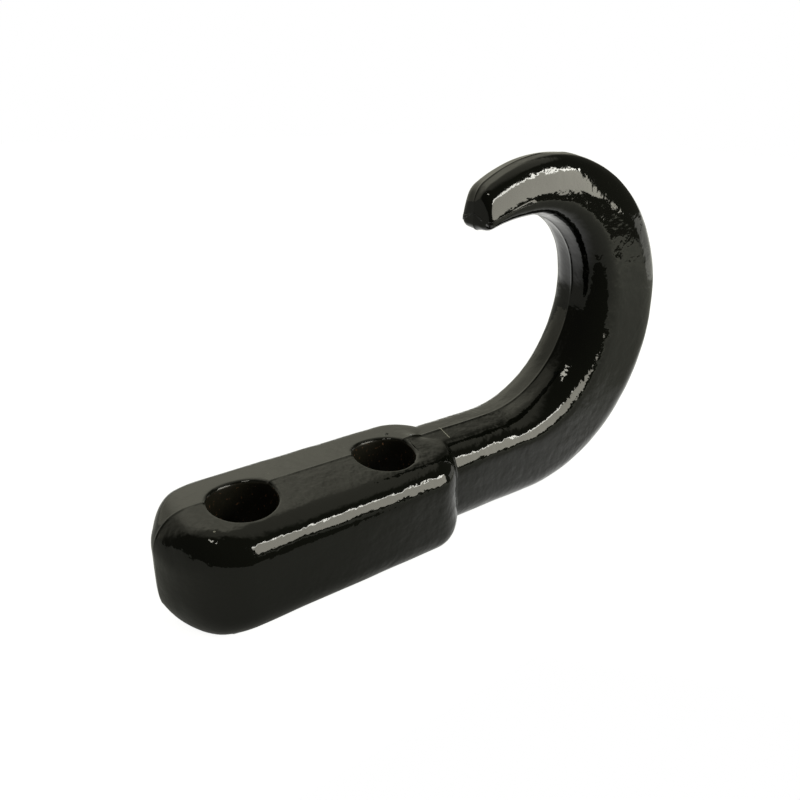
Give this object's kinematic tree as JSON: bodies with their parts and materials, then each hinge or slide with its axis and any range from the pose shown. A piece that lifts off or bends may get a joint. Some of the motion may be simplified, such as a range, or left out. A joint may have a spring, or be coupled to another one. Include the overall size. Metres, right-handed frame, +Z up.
{
  "type": "tow hook",
  "caption": "Bolt-on tow hook: a solid mounting block with bolt bores carries a straight shank and an open, curved hook that holds a tow strap, rope or chain.",
  "frame": {"origin": "on the flat seat of the mounting block, halfway between the axes of the bolt bores", "axes": "+X from the block along the shank to the hook, +Z up from the seat along the bore axes, +Y across the bar, away from the near side in the picture"},
  "size_m": [0.1717, 0.0368, 0.1062],
  "materials": {
    "black_coat": "glossy black powder coat with a fine orange peel over a drop-forged steel surface"
  },
  "bodies": {
    "root": {"hook_forging": "black_coat"}
  },
  "joints": []
}
